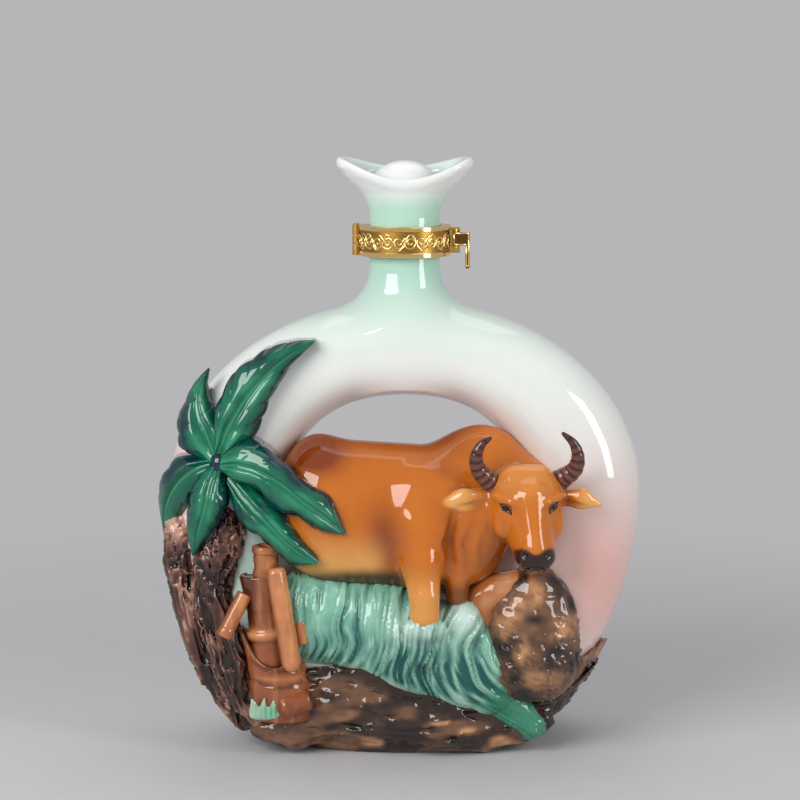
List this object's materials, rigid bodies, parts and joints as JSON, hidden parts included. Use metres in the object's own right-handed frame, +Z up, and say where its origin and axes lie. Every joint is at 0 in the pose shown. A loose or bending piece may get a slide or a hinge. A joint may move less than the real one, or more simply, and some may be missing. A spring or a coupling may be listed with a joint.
{
  "type": "figural liquor decanter",
  "caption": "Ring-shaped glazed ceramic flask with an ox, palm and bamboo in relief, an ingot-shaped stopper cap and a hinged metal neck clamp.",
  "frame": {"origin": "centre of the flat foot of the ring, under the neck axis", "axes": "+Z up along the neck, -Y towards the ox and the clamp latch side that the picture shows, +X to the right of the front view"},
  "size_m": [0.2461, 0.1172, 0.3],
  "materials": {
    "glaze_ring": "white glossy glaze with a mint and rose tint",
    "glaze_cap": "white to pale green glossy glaze",
    "glaze_ox": "glossy orange-brown glaze",
    "glaze_horn": "glossy dark glaze",
    "glaze_leaf": "glossy deep green glaze",
    "glaze_trunk": "brown glaze on bark relief",
    "glaze_bamboo": "glossy orange-brown glaze",
    "glaze_grass": "mint to dark teal glossy glaze",
    "glaze_rock": "mottled tan and dark brown glaze",
    "gilt_metal": "polished gilt",
    "liner": "translucent silicone",
    "plug": "moulded white"
  },
  "bodies": {
    "bottle": {"flask_shell": "glaze_ring", "ox_torso": "glaze_ox", "ox_head": "glaze_ox", "ox_horn_left": "glaze_horn", "ox_horn_right": "glaze_horn", "ox_ear_left": "glaze_ox", "ox_ear_right": "glaze_ox", "ox_near_foreleg": "glaze_ox", "ox_far_foreleg": "glaze_ox", "boulder": "glaze_rock", "mound": "glaze_rock", "side_rock": "glaze_rock", "grass_bank": "glaze_grass", "rocky_ground": "glaze_rock", "bamboo_stalk": "glaze_bamboo", "short_pipe": "glaze_bamboo", "slanted_tube": "glaze_bamboo", "long_tube": "glaze_bamboo", "bamboo_knob": "glaze_bamboo", "grass_tuft": "glaze_grass", "palm_trunk": "glaze_trunk", "palm_leaf_1": "glaze_leaf", "palm_leaf_2": "glaze_leaf", "palm_leaf_3": "glaze_leaf", "palm_leaf_4": "glaze_leaf", "palm_leaf_5": "glaze_leaf", "palm_leaf_6": "glaze_leaf", "clamp_rear": "gilt_metal", "hinge_pin": "gilt_metal", "liner_rear": "liner", "neck_gasket": "liner"},
    "cap": {"ingot_cap": "glaze_cap", "stopper_plug": "plug", "plug_seal_upper": "liner", "plug_seal_lower": "liner"},
    "clamp_gate": {"clamp_front": "gilt_metal", "liner_front": "liner", "latch_pin": "gilt_metal"},
    "latch": {"latch_hook": "gilt_metal"}
  },
  "joints": [
    {"name": "cap_lift", "type": "slide", "parent": "bottle", "child": "cap", "axis": [0, 0, 1], "range_m": [0, 0.06]},
    {"name": "clamp_swing", "type": "hinge", "parent": "bottle", "child": "clamp_gate", "pos_m": [-0.0246, 0, 0.2576], "axis": [0, 0, 1], "range_deg": [-110, 0]},
    {"name": "latch_swing", "type": "hinge", "parent": "clamp_gate", "child": "latch", "pos_m": [0.0256, -0.0034, 0.2586], "axis": [0, 0, 1], "range_deg": [0, 90]}
  ]
}
